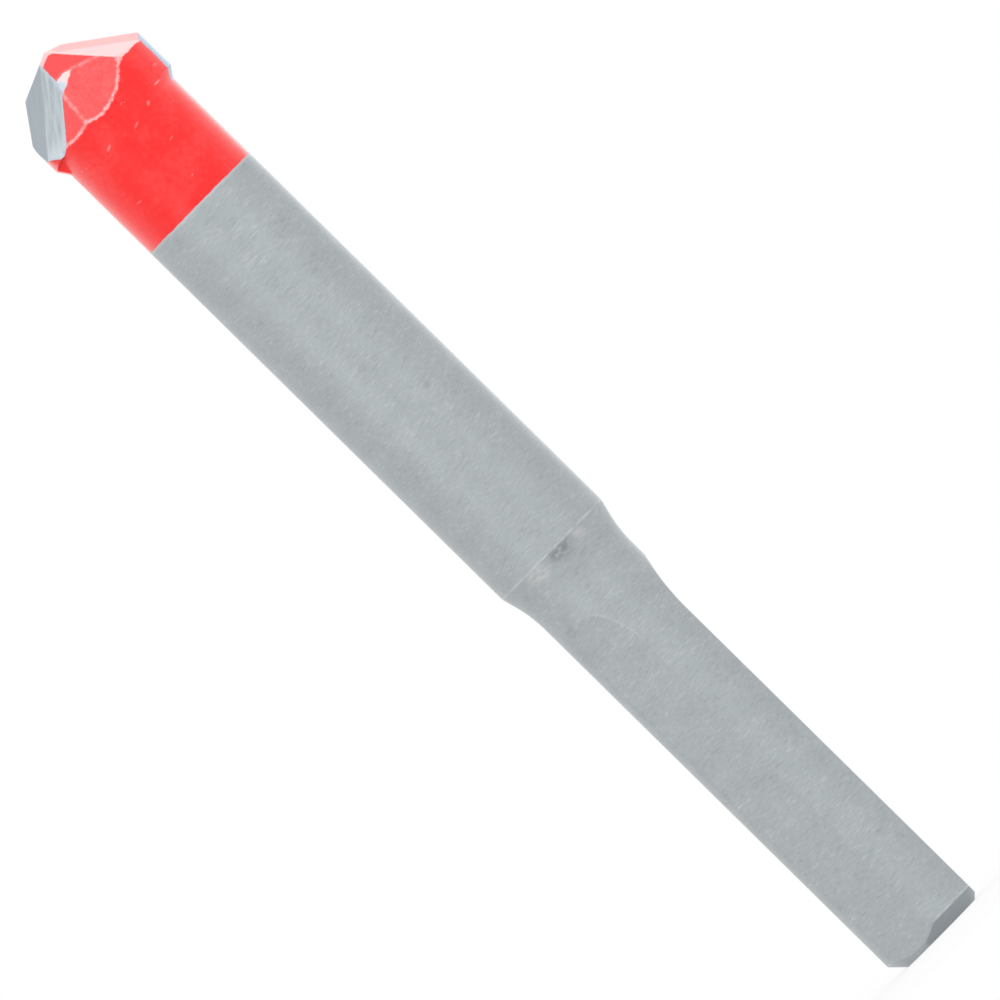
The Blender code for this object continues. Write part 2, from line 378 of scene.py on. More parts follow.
def along_direction(distance, facing):
    """Length along each direction to a surface at a distance, where facing is normal times direction."""
    return np.where(facing > LEAST_FACING, distance / np.maximum(facing, LEAST_FACING), FAR)


def head_distances(polar, turn):
    """Length from the inner point to each surface, for the angle from +Z and the angle round the axis."""
    centre = height(HEAD_CENTRE_DEPTH)
    out = np.sin(polar)
    up = np.cos(polar)
    found = {}
    for name, (side, angle, above) in GROUND_FACES.items():
        slope = math.radians(angle)
        facing = math.cos(slope) * out * np.cos(turn - math.radians(side)) + math.sin(slope) * up
        found[name] = along_direction(math.sin(slope) * (POINT_HEIGHT + above - centre), facing)
    reach = along_direction(BODY_RADIUS, out) + 0.0 * turn
    for _ in range(ROUND_STEPS):  # the round's radius depends on the height at which the direction meets it
        reach = along_direction(round_radius(turn, centre + reach * up), out)
    found["round"] = reach
    found["seat"] = along_direction(centre - JOINT_HEIGHT, -up)
    return found


sideways = head_distances(np.array([[math.pi / 2]]), np.array([[0.0]]))
least = min(float(reach[0, 0]) for reach in sideways.values())
print("straight to the front the head ends after", round(least / MM, 2), "mm")

# %% [markdown]
# ## Where each finish of the head starts
#
# On the real head every finish ends at an edge that a wheel has cut, or near it. A painted picture could
# say where, but it would need a flat map of the head. Here the mesh carries distances to those edges
# instead, in millimetres, worked out from the same planes. Where a worn line wanders off its edge, a few
# corners in the front view say where it runs.

# %% Lines between the ground faces
LEAST_SINE = (0.03, 0.05)  # for an edge and for a group, so that faces nearly in line don't divide by zero
NEAR_AXIS = 0.001 * MM


def face_normal(side, angle):
    """Outward normal of a ground face that looks to one side and lies at an angle to the axis."""
    side, angle = math.radians(side), math.radians(angle)
    return np.array([math.cos(angle) * math.sin(side), -math.cos(angle) * math.cos(side), math.sin(angle)])


def under_surfaces(points):
    """For each surface, how deep the points lie under it and its outward normal there, by name."""
    depth = {}
    normal = {}
    for name, (side, angle, above) in GROUND_FACES.items():
        facing = face_normal(side, angle)
        depth[name] = facing[2] * (POINT_HEIGHT + above) - points @ facing
        normal[name] = np.broadcast_to(facing, points.shape)
    radius = np.hypot(points[..., 0], points[..., 1])
    outward = np.stack([points[..., 0], points[..., 1], 0 * radius], -1)
    turn = np.arctan2(points[..., 0], -points[..., 1])
    depth["round"] = round_radius(turn, points[..., 2]) - radius
    normal["round"] = outward / np.maximum(radius, NEAR_AXIS)[..., None]
    return depth, normal


def edge_distance(depth, normal, first, second):
    """Distance in mm to the edge of two faces: the deeper of both depths over the sine between the faces."""
    sine = np.linalg.norm(np.cross(normal[first], normal[second]), axis=-1)
    return np.maximum(depth[first], depth[second]) / np.maximum(sine, LEAST_SINE[0]) / MM


def nearest_of(depth, normal, group):
    """Least depth under the faces of a group, and the normal of the face that has it."""
    depths = np.stack([depth[name] for name in group])
    normals = np.stack([normal[name] for name in group])
    pick = depths.argmin(0)[None]
    return np.take_along_axis(depths, pick, 0)[0], np.take_along_axis(normals, pick[..., None], 0)[0]


def inside_group(depth, normal, group, others):
    """Signed distance in mm to the line round a group of faces, positive on the group's own faces."""
    ours, our_normal = nearest_of(depth, normal, group)
    theirs, their_normal = nearest_of(depth, normal, others)
    sine = np.linalg.norm(np.cross(our_normal, their_normal), axis=-1)
    return (theirs - ours) / np.maximum(sine, LEAST_SINE[1]) / MM


normals = [face_normal(side, angle) for side, angle, _ in GROUND_FACES.values()]
leans = [round(math.degrees(math.acos(normal[2]))) for normal in normals]
print("the ground faces lean off level by", leans, "degrees")

# %% Groups of faces and the lines drawn in the front view
FLANK = ("right_flank", "right_edge_land", "point_land")
BARE = ("left_leading_face", "left_bevel", "left_flank_inner", "left_flank_outer")
CHEEKS = ("front_cheek", "front_leading_face", "back_cheek", "back_leading_face")
ROUND = ("round",)
# Edges at the back where the lacquer is worn through, and ridges where it is only thin
WORN_EDGES = (
    ("back_cheek", "round"), ("back_leading_face", "round"), ("right_edge_land", "back_leading_face"),
)
RIDGES = (("front_cheek", "front_leading_face"), ("back_cheek", "back_leading_face"))
# x and z in mm round the bare faces in the front view. The lacquer reaches past the faces' own edges near the
# point, and stops short of the round behind them.
BARE_OUTLINE = (
    (-1.11, 102.0), (-9.0, 102.0), (-9.0, 95.2), (-6.17, 95.16), (-5.99, 95.11), (-5.36, 94.56),
    (-5.01, 94.52), (-4.67, 94.70), (-4.20, 95.07), (-2.82, 96.68), (-1.69, 98.01), (-1.46, 98.13),
    (-1.15, 99.28),
)
# The same round the cheek and the leading face, whose worn edge wanders a little off the ground edge
CHEEK_OUTLINE = (
    (3.74, 96.91), (3.13, 96.45), (2.59, 95.99), (2.03, 95.47), (1.45, 95.22), (1.11, 95.07), (0.55, 94.92),
    (0.19, 94.86), (-0.27, 94.78), (-0.97, 94.89), (-1.84, 95.13), (-2.40, 94.96), (-2.82, 94.89),
    (-3.51, 94.87), (-4.03, 94.95), (-9.0, 95.0), (-9.0, 103.0), (9.0, 103.0), (9.0, 98.5),
)
# The haze and painted reflection of the right flank run past its ground edge on to the round
FLANK_END = (
    (7.0, 98.2), (7.0, 96.80), (6.30, 96.80), (6.01, 96.74), (5.38, 96.86), (4.57, 96.77), (4.00, 96.86),
    (3.72, 97.02), (3.60, 97.40), (4.5, 98.6),
)
SHADOW_LINE = (  # the dark line along the end of the left leading face
    (-4.9, 94.55), (-5.08, 94.38), (-5.45, 94.40), (-6.10, 95.0), (-6.02, 95.10), (-5.38, 94.56),
)
NOOK = (  # painted shade: the deep red under that end, where the surface faces down
    (-5.35, 94.70), (-5.35, 93.85), (-6.7, 93.85), (-6.7, 95.3), (-6.02, 95.12),
)
# x and z in mm round the scuff, which is painted near-white as a highlight
SCUFF = ((0.41, 99.07), (-0.27, 99.34), (-1.20, 99.25), (-1.45, 98.12), (-0.62, 98.53))
SEAM = ((-0.13, 99.31), (2.38, 98.41))  # x and z in mm of the line between the deep red web and the cheek
SEAM_HEIGHT = 99.30  # z in mm of that line left of its bend
STRIP = (-16.0, 0.5)  # degrees ahead of a margin's middle between which its round is ground bare
STRIP_DEPTH = 0.01  # in mm under the round, past which a ground face cuts the strip off
STRIP_FALL = 20.0  # how fast it ends there
SIDE_INSET = 0.08  # in mm, by which the bare left flank stays inside its own edges
ELSEWHERE = -5.0  # in mm, for the back, where a line drawn in the front view doesn't count
drawn = len(BARE_OUTLINE) + len(CHEEK_OUTLINE) + len(FLANK_END)
print("the worn lines in the front view have", drawn, "corners")


# %% Distances to a line and to an outline
def left_of_line(x, z, start, end):
    """Signed distance to a line in the front view, positive on its left: cross product over its length."""
    (x0, z0), (x1, z1) = start, end
    return ((x1 - x0) * (z - z0) - (z1 - z0) * (x - x0)) / math.hypot(x1 - x0, z1 - z0)


def inside_outline(x, z, outline):
    """Signed distance to a closed outline in the front view, positive inside.

    The distance is the least over its sides, each from the nearest place on the side. A point is inside where
    a ray towards +X crosses the sides an odd number of times.
    """
    nearest = np.full(x.shape, np.inf)
    inside = np.zeros(x.shape, bool)
    for (x0, z0), (x1, z1) in zip(outline, (*outline[1:], outline[0])):
        run, rise = x1 - x0, z1 - z0
        share = np.clip(((x - x0) * run + (z - z0) * rise) / (run * run + rise * rise), 0.0, 1.0)
        nearest = np.minimum(nearest, np.hypot(x - x0 - share * run, z - z0 - share * rise))
        if rise != 0.0:
            inside ^= ((z0 > z) != (z1 > z)) & (x < x0 + run * (z - z0) / rise)
    return np.where(inside, nearest, -nearest)


def ground_strip(x, y, depth):
    """Signed distance in mm to the bare strip along each margin's top, positive on it."""
    turn = np.arctan2(x, -y)
    ahead = np.stack([ahead_of(turn, middle) for middle, *_ in MARGINS])
    on_strip = np.minimum(ahead - STRIP[0], STRIP[1] - ahead).max(0) * math.radians(1.0) * HEAD_RADIUS / MM
    return np.minimum(on_strip, STRIP_FALL * (STRIP_DEPTH - depth["round"] / MM))


scuff_middle = np.array([-0.7]), np.array([98.9])
scuff_depth = float(inside_outline(*scuff_middle, SCUFF)[0])
print("the scuff's middle lies", round(scuff_depth, 2), "mm inside its outline")


# %% Give the head its fields
def add_head_fields(head, points):
    """Stores where each finish starts: bare faces, hazed flank, cheeks, rim and worn edges."""
    depth, normal = under_surfaces(points)
    x, y, z = (points[..., axis] / MM for axis in range(3))

    def store(name, on_front, on_back=ELSEWHERE):
        add_field(head, name, np.where(y < 0, on_front, on_back))

    def group(names, others):
        return inside_group(depth, normal, names, others)

    others = (*FLANK, *CHEEKS, *ROUND)
    left_flank = group(BARE[2:], (*BARE[:2], *others)) - SIDE_INSET
    store("bare", np.maximum(inside_outline(x, z, BARE_OUTLINE), left_flank), group(BARE, others))
    flank = group(FLANK, (*CHEEKS, *BARE, *ROUND))
    store("flank", np.maximum(flank, inside_outline(x, z, FLANK_END)), flank)
    cheek = inside_outline(x, z, CHEEK_OUTLINE)
    store("rim", -cheek, group(ROUND, (*FLANK, *CHEEKS, *BARE)))
    worn = [edge_distance(depth, normal, *pair) for pair in WORN_EDGES]
    store("edge_gap", np.abs(cheek), np.stack(worn).min(0))
    store("web", np.maximum(left_of_line(x, z, *SEAM), z - SEAM_HEIGHT))
    for name, outline in (("shadow", SHADOW_LINE), ("nook", NOOK), ("scuff", SCUFF)):
        store(name, inside_outline(x, z, outline))
    add_field(head, "strip", ground_strip(x, y, depth))
    add_field(head, "bevel", (depth["left_leading_face"] - depth["left_bevel"]) / MM)
    ridges = [edge_distance(depth, normal, *pair) for pair in RIDGES]
    add_field(head, "ridge_gap", np.stack(ridges).min(0))
    tip = [edge_distance(depth, normal, "front_cheek", face) for face in ("point_land", "left_flank_inner")]
    add_field(head, "tip_gap", np.minimum(*tip))


# %% Rows and columns of the head's grid
HEAD_EDGE_SOFTNESS = 0.014 * MM
HEAD_STEP = 0.8  # degrees between the head's columns
WALL_COLUMNS = 9  # across the leading wall of each margin
POINT_ROWS, SIDE_ROWS, SEAT_ROWS = 178, 30, 4
POLE_GAP = (0.006, 0.05)  # angle that the first row and the last keep from their pole


def head_columns():
    """Angles round the head: even, with a few more across the leading wall of each margin."""
    top, foot = (math.degrees(math.asin(MARGIN_LEAD / radius)) for radius in (HEAD_RADIUS, BODY_RADIUS))
    walls = [middle + np.linspace(top - 0.1, foot + 0.1, WALL_COLUMNS) for middle, *_ in MARGINS]
    turns = np.concatenate([np.arange(0.0, 360.0, HEAD_STEP), *walls])
    return np.radians(np.unique(np.round(turns, 3)))


def head_rows():
    """Angles from +Z: close together over the ground point, wider apart over the seat, which is hidden."""
    side_start = math.atan2(HEAD_RADIUS, HEAD_CENTRE_DEPTH - MARGINS[0][1]) - 0.02
    seat_edge = math.atan2(BODY_RADIUS - SKIN, JOINT_HEIGHT - height(HEAD_CENTRE_DEPTH))
    point = np.linspace(POLE_GAP[0], side_start, POINT_ROWS, endpoint=False)
    side = np.linspace(side_start, seat_edge, SIDE_ROWS)
    seat = np.linspace(seat_edge + POLE_GAP[1], math.pi - POLE_GAP[1], SEAT_ROWS)
    return np.concatenate([point, side, seat])


print("the head's grid has", len(head_rows()), "rows and", len(head_columns()), "columns")


# %% Make the head's skin
def make_head():
    """Points at the soft least distance from the inner point, in every direction."""
    polar = head_rows()[:, None]
    turn = head_columns()[None, :]
    found = head_distances(polar, turn).values()
    *sides, seat = (np.broadcast_to(reach, (polar.size, turn.size)) for reach in found)
    reach = np.minimum(soft_least(np.stack(sides), HEAD_EDGE_SOFTNESS) - SKIN, seat)
    out = reach * np.sin(polar)
    heights = height(HEAD_CENTRE_DEPTH) + reach * np.cos(polar)
    points = np.stack([out * np.sin(turn), -out * np.cos(turn), heights], -1)
    poles = [(0.0, 0.0, points[row, :, 2].mean()) for row in (0, -1)]
    head = closed_skin("carbide_head_skin", points, *poles)
    add_head_fields(head, points)
    return head


head = make_head()

# %% [markdown]
# ## Node helpers
#
# Materials in Blender are networks of small nodes. A few helpers keep them readable: one adds any node and
# wires its inputs, and the others name the steps that come back again and again. Every pattern reads Object
# coordinates, which are metres here, so a grain of a tenth of a millimetre has a scale of ten thousand.


# %% Helpers for any network
def add(tree, kind, inputs, **settings):
    """Adds a shader node. An input that is a socket is linked, and any other is written as its value."""
    made = tree.nodes.new("ShaderNode" + kind)
    for key, value in settings.items():
        setattr(made, key, value)
    for key, value in inputs.items():
        if isinstance(value, bpy.types.NodeSocket):
            tree.links.new(value, made.inputs[key])
        else:
            made.inputs[key].default_value = value
    return made


def new_material(name, colour):
    """A material with no nodes but its shader. Returns the material, its tree and the shader."""
    material = bpy.data.materials.new(name)
    material.use_nodes = True
    material.diffuse_color = (*colour, 1.0)
    tree = material.node_tree
    return material, tree, tree.nodes["Principled BSDF"]


def wire(tree, shader, **values):
    """Links sockets to the shader's inputs, whose names are written with _ for a space."""
    for name, value in values.items():
        tree.links.new(value, shader.inputs[name.replace("_", " ")])


# %% Helpers for numbers and colours
def spread(tree, value, low, high, to_low=0.0, to_high=1.0, kind="SMOOTHSTEP"):
    """Takes the range from low to high onto another range, and holds it at both ends."""
    inputs = {"Value": value, "From Min": low, "From Max": high, "To Min": to_low, "To Max": to_high}
    return add(tree, "MapRange", inputs, interpolation_type=kind).outputs["Result"]


def combine(tree, how, first, second):
    """One step of arithmetic on two numbers."""
    return add(tree, "Math", {0: first, 1: second}, operation=how).outputs[0]


def times(tree, first, second):
    """First number times second, which lets one pattern fade another."""
    return combine(tree, "MULTIPLY", first, second)


def most(tree, first, *others):
    """The greatest of several numbers."""
    for other in others:
        first = combine(tree, "MAXIMUM", first, other)
    return first


def share(tree, *parts):
    """Sum of numbers, each times its own weight."""
    total = 0.0
    for value, weight in parts:
        total = add(tree, "Math", {0: value, 1: weight, 2: total}, operation="MULTIPLY_ADD").outputs[0]
    return total


def blend_colour(tree, amount, first, second):
    """First colour where the amount is 0 and second colour where it is 1."""
    ends = [end if isinstance(end, bpy.types.NodeSocket) else (*end, 1.0) for end in (first, second)]
    return add(tree, "Mix", {0: amount, 6: ends[0], 7: ends[1]}, data_type="RGBA").outputs[2]


def line_at(tree, value, middle, inner, outer, strength):
    """A soft line where a value is near its middle: full up to the inner distance, gone at the outer one."""
    off = add(tree, "Math", {0: combine(tree, "SUBTRACT", value, middle)}, operation="ABSOLUTE").outputs[0]
    return spread(tree, off, outer, inner, 0.0, strength)


# %% Helpers for places on the surface
NO_TURN = NO_OFFSET = (0.0, 0.0, 0.0)


def axis_place(tree, axis, unit=1.0):
    """The x, y or z of the surface point, in metres or in another unit."""
    place = add(tree, "TexCoord", {}).outputs["Object"]
    along = add(tree, "SeparateXYZ", {"Vector": place}).outputs[axis]
    return along if unit == 1.0 else times(tree, along, 1.0 / unit)


def field(tree, name):
    """A number that the mesh carries at its points."""
    return add(tree, "Attribute", {}, attribute_name=name, attribute_type="GEOMETRY").outputs["Fac"]


def grain(tree, size, detail=2.0, turn=NO_TURN, rough=0.5, offset=NO_OFFSET):
    """Noise from 0 to 1 whose spots are about size metres long on the turned x, y and z axes."""
    place = add(tree, "TexCoord", {}).outputs["Object"]
    turned = add(tree, "Mapping", {"Vector": place, "Rotation": turn}).outputs[0]
    scale = tuple(1.0 / length for length in size)
    scaled = add(tree, "Mapping", {"Vector": turned, "Scale": scale, "Location": offset}).outputs[0]
    inputs = {"Vector": scaled, "Scale": 1.0, "Detail": detail, "Roughness": rough}
    return add(tree, "TexNoise", inputs).outputs["Fac"]


def cloud(tree, size, low, high, to_low=0.0, to_high=1.0, detail=3.0, offset=NO_OFFSET):
    """Round soft spots of a size in mm: noise, which lies mostly from 0.3 to 0.7, spread from low to high."""
    noise = grain(tree, (size * MM,) * 3, detail, offset=offset)
    return spread(tree, noise, low, high, to_low, to_high)


def pushed(tree, distance, size, reach, offset=NO_OFFSET):
    """A distance in mm with noise of a size in mm added, up to reach mm either way."""
    noise = grain(tree, (size * MM,) * 3, 3.0, rough=0.6, offset=offset)
    return share(tree, (distance, 1.0), (combine(tree, "SUBTRACT", noise, 0.5), 2 * reach))


# %% Oval marks on the front
MARK_DEPTH = 3.0 * MM  # a mark reaches this far in and out, so that it doesn't show on the back
MARK_RADIUS = 6.0  # in mm, of the round on which the middles of the marks lie
MARK_CORE = 0.35  # share of a mark in which it is full


def spot(tree, x, z, half_length, half_width, tilt):
    """1 in the middle of an oval mark and 0 at its rim, all in mm, tilted in degrees from +X to +Z."""
    place = add(tree, "TexCoord", {}).outputs["Object"]
    y = -math.sqrt(max(MARK_RADIUS**2 - x * x, 1.0))
    inputs = {
        "Vector": place, "Location": (x * MM, y * MM, z * MM), "Rotation": (0.0, -math.radians(tilt), 0.0),
        "Scale": (half_length * MM, MARK_DEPTH, half_width * MM),
    }
    local = add(tree, "Mapping", inputs, vector_type="TEXTURE").outputs[0]
    distance = add(tree, "VectorMath", {0: local}, operation="LENGTH").outputs["Value"]
    return spread(tree, distance, 1.0, MARK_CORE)


def spots(tree, places):
    """The greatest of several oval marks, each times its own strength."""
    return most(tree, 0.0, *[times(tree, spot(tree, *where), strength) for *where, strength in places])


# %% [markdown]
# ## Sandblasted steel
#
# The shank is hard steel, blasted with grit after it was ground, which leaves a matt grey with a fine
# grain. The grain in the photograph lies across the axis, because the turning marks still show under the
# blasting. One noise would look like paint, so two are stretched round the bit for the grain, and a broad
# soft one gives the slightly uneven grey of a blasted surface. The same grain drives colour, roughness and
# bump, as it does on real metal.

# %% The grain of the steel
GRAIN_LENGTH = (0.68 * MM, 0.68 * MM, 0.16 * MM)
GRAIN_LEAN = (0.0, 0.06, 0.0)  # the turning marks run a little aslant, as a turning tool feeds along
FINE_GRAIN = (0.16 * MM, 0.16 * MM, 0.07 * MM)
MOTTLE = (3.0 * MM, 3.0 * MM, 1.6 * MM)
STEEL = (0.418, 0.451, 0.464)
STEEL_DARK = (0.345, 0.374, 0.387)
STEEL_LIGHT = (0.515, 0.549, 0.561)
STEEL_ROUGHNESS = 0.5
ROUGHNESS_SWING = 0.06  # up and down with the grain


def blasted_steel(tree):
    """Grey that the grain makes lighter or darker, and the grain itself."""
    turned = grain(tree, GRAIN_LENGTH, 2.0, GRAIN_LEAN)
    fine = share(tree, (turned, 0.70), (grain(tree, FINE_GRAIN, 1.0), 0.30))
    tone = share(tree, (fine, 0.78), (grain(tree, MOTTLE, 3.0), 0.22))
    colour = blend_colour(tree, spread(tree, tone, 0.50, 0.70), STEEL, STEEL_LIGHT)
    return blend_colour(tree, spread(tree, tone, 0.50, 0.30), colour, STEEL_DARK), fine


print("the steel's grain, in mm:", [round(length / MM, 2) for length in GRAIN_LENGTH])

# %% Smudges, painted shade and highlights, and polished edges with painted highlights
# Greys of the marks: a dark one for smudges and painted shade, and a pale one for painted highlights
SMUDGE_AND_SHADE_GREY = (0.28, 0.302, 0.315)
PAINTED_HIGHLIGHT_GREY = (0.61, 0.597, 0.602)
MARK_GRAIN = (0.7 * MM, 0.7 * MM, 0.35 * MM)
# Marks on the front: x, z, half length, half width in mm, tilt in degrees, and strength. Those right under
# the shoulder are painted shade, and the others are smudges
SMUDGES_AND_SHOULDER_SHADE = (
    (0.45, 43.72, 1.75, 0.85, 2.0, 0.95), (0.70, 43.10, 1.1, 0.60, 10.0, 0.35),
    (2.50, 60.75, 0.60, 0.40, 10.0, 0.40), (-0.32, 65.35, 0.55, 0.40, -10.0, 0.35),
    (-3.75, 38.40, 0.75, 0.95, 12.0, 0.45),
)
# Painted highlights where the taper meets the shoulder, given like the dark marks
SHOULDER_HIGHLIGHTS = ((-2.25, 43.45, 1.45, 0.95, -6.0, 0.62), (2.55, 43.62, 0.80, 0.70, 0.0, 0.45))
# Pale lines along the edges: polish from the blasting, made brighter as painted highlights
EDGE_POLISH_AND_HIGHLIGHT = (0.66, 0.70, 0.715)
LINE_REACH = (0.036, 0.12)  # in mm, full and gone, of the pale line along a turned edge: polish and a painted highlight
FLAT_LINE_REACH = (0.0135, 0.045)  # the same along the edge of a flat, in mm of its gap
LINE_STRENGTH = 0.5
FLAT_LINE_STRENGTH = 0.4
EDGE_STEP = 0.08  # in mm, from the chamfer's edge to its pale line, and to the full painted shade under it
FLAT_FADE = (-0.02, 0.04)  # in mm of a flat's gap, over which the chamfer's painted shade fades on to the round
RUN_OUT_FADE = 1.5  # in mm over a flat's straight length, where its edge line comes in
# Painted shade on the chamfer, which faces down and away from the light
CHAMFER_SHADE_GREY = (0.255, 0.28, 0.30)
CHAMFER_SHADE_STRENGTH = 0.62
CHAMFER_SHADE_SIDE = (-1.7, -1.0, 0.12, 1.0)  # x in mm between which the chamfer's painted shade goes from none to full


def smudges_and_painted_light(tree, colour):
    """The marks of handling, with painted shade and painted highlights under the shoulder, broken up by the
    grain.
    """
    broken = spread(tree, grain(tree, MARK_GRAIN, 3.0), 0.3, 0.6)
    for marks, tint in ((SMUDGES_AND_SHOULDER_SHADE, SMUDGE_AND_SHADE_GREY), (SHOULDER_HIGHLIGHTS, PAINTED_HIGHLIGHT_GREY)):
        colour = blend_colour(tree, times(tree, spots(tree, marks), broken), colour, tint)
    return colour


def chamfer_shade_and_edge_highlights(tree, colour):
    """Painted shade on the downward chamfer, and pale lines of polish and painted highlight along the
    chamfer, the shoulder and the run-out of each flat.
    """
    x, z = axis_place(tree, "X", MM), axis_place(tree, "Z", MM)
    gap = field(tree, "flat_gap")
    chamfer, flat_end, shoulder = END_CHAMFER / MM, FLAT_LENGTH / MM, height(BODY_LENGTH) / MM
    off_flat = spread(tree, gap, *FLAT_FADE)
    grey = times(tree, spread(tree, z, chamfer, chamfer - EDGE_STEP, 0.0, CHAMFER_SHADE_STRENGTH), off_flat)
    grey = times(tree, grey, spread(tree, x, *CHAMFER_SHADE_SIDE))
    colour = blend_colour(tree, grey, colour, CHAMFER_SHADE_GREY)
    end_line = line_at(tree, z, chamfer + EDGE_STEP, *LINE_REACH, LINE_STRENGTH)
    shoulder_line = line_at(tree, z, shoulder + 0.02, *LINE_REACH, LINE_STRENGTH)
    over_flat = spread(tree, z, flat_end, flat_end + RUN_OUT_FADE, 0.0, 0.5)
    at_end = spread(tree, z, chamfer + 0.1, chamfer - 0.1)
    flat_line = line_at(tree, gap, 0.01, *FLAT_LINE_REACH, FLAT_LINE_STRENGTH)
    flat_line = times(tree, flat_line, most(tree, over_flat, at_end))
    lines = most(tree, times(tree, end_line, off_flat), shoulder_line, flat_line)
    worn = cloud(tree, 0.9, 0.3, 0.65, 0.15, 1.0, offset=(5.0, 5.0, 1.0))
    return blend_colour(tree, times(tree, lines, worn), colour, EDGE_POLISH_AND_HIGHLIGHT)


print("marks of handling on the steel:", len(SMUDGES_AND_SHOULDER_SHADE), "dark and", len(SHOULDER_HIGHLIGHTS), "pale")

# %% [markdown]
# ## Red lacquer on the steel
#
# The bit is dipped or sprayed red down to 17.5 mm behind its point. The coat is thin, so its end is a line
# that follows the steel's grain by about a tenth of a millimetre, and handling leaves a few pale nicks. A
# second material would need a cut in the mesh along that line. Here one material holds both finishes, as
# the real surface does, and the height over the shank end, pushed about by noise, says where the red
# begins.
#
# The pale bands along the sides of the red are reflections of the white room. They come from a clear top
# over the red, the shader's coat, which reflects more the flatter one looks along it. A faint sheen stands
# for the light that the grain of every finish scatters at such an angle.

# %% The lacquer's red
RED_DEEP = (0.98, 0.001, 0.001)
RED = (1.0, 0.025, 0.025)
BROAD_CLOUDS = (2.4 * MM,) * 3
SMALL_CLOUDS = (0.45 * MM,) * 3
PALE_NICK = (1.0, 0.36, 0.36)
# Like the marks on the steel, for the red of body and head
NICKS = (
    (4.55, 93.39, 0.48, 0.13, 0.0, 0.7), (2.84, 92.70, 0.30, 0.20, 50.0, 0.45),
    (0.88, 92.14, 0.42, 0.13, 20.0, 0.5), (-2.01, 92.41, 0.48, 0.13, 24.0, 0.55),
    (5.40, 94.54, 0.22, 0.18, 0.0, 0.4), (2.1, 89.4, 0.30, 0.09, 12.0, 0.4),
    (-3.4, 87.6, 0.32, 0.08, -8.0, 0.4), (1.2, 86.1, 0.22, 0.09, 30.0, 0.35),
)
SCRATCH = (0.5 * MM, 0.5 * MM, 0.07 * MM)
SCRATCH_TURN = (0.0, 0.35, 0.2)
SCRATCH_OFFSET = (3.0, 0.0, 5.0)
SCRATCH_LEVEL = (0.74, 0.78)  # of the noise, above which a scratch shows


def scratches(tree):
    """Thin short scratches that run mostly round the bit: the top of a noise that is stretched that way."""
    thin = grain(tree, SCRATCH, 1.0, SCRATCH_TURN, offset=SCRATCH_OFFSET)
    few = cloud(tree, 2.5, 0.5, 0.62, detail=1.0, offset=SCRATCH_OFFSET)
    return times(tree, spread(tree, thin, *SCRATCH_LEVEL), few)


def lacquer_red(tree):
    """The coat's red: cloudy, with a few pale nicks and scratches."""
    broad, small = grain(tree, BROAD_CLOUDS, 3.0), grain(tree, SMALL_CLOUDS, 2.0)
    cloudy = share(tree, (broad, 0.6), (small, 0.4))
    red = blend_colour(tree, spread(tree, cloudy, 0.42, 0.66), RED_DEEP, RED)
    ragged = cloud(tree, 0.2, 0.3, 0.55, 0.35, 1.0, detail=2.0)
    marks = most(tree, times(tree, spots(tree, NICKS), ragged), scratches(tree))
    return blend_colour(tree, marks, red, PALE_NICK)


print("nicks placed in the red:", len(NICKS))

# %% The gloss of lacquer and metal
LACQUER_ROUGHNESS = 0.34
LACQUER_IOR = 1.38
GLOSS = 0.85  # weight of the lacquer's clear top, which the steel and the carbide don't have
GLOSS_ROUGHNESS = 0.4
GLOSS_IOR = 1.33
SURFACE_SHEEN = 0.26
SHEEN_ROUGHNESS = 0.42


def set_gloss(tree, shader, lacquered):
    """The values that are the same on every finish, and the clear top where there is lacquer."""
    for name, value in (
        ("IOR", LACQUER_IOR), ("Coat Roughness", GLOSS_ROUGHNESS), ("Coat IOR", GLOSS_IOR),
        ("Sheen Weight", SURFACE_SHEEN), ("Sheen Roughness", SHEEN_ROUGHNESS),
    ):
        shader.inputs[name].default_value = value
    wire(tree, shader, Coat_Weight=spread(tree, lacquered, 0.0, 1.0, 0.0, GLOSS, "LINEAR"))


# %% The shank's material
PAINT_END = height(PAINT_LENGTH) / MM
PAINT_WANDER = (0.9, 0.11)  # size and reach, in mm, of the noise that moves the coat's end up and down
PAINT_FADE = (-0.03, 0.05)  # in mm over that end, where the red starts and is full
PAINT_EDGE_HIGHLIGHT = (0.56, 0.62, 0.66)  # the steel right under the coat's end, painted paler as a highlight along the coat's edge
EDGE_HIGHLIGHT_BAND = (-0.30, -0.10, 0.0, 0.5)  # from and to these mm over the coat's end it goes from none to half
STEEL_METAL = 0.92
PAINT_THICKNESS = 6.0  # of the coat, in heights of the steel's grain
SHANK_BUMP = {"Strength": 0.35, "Distance": 0.006 * MM}


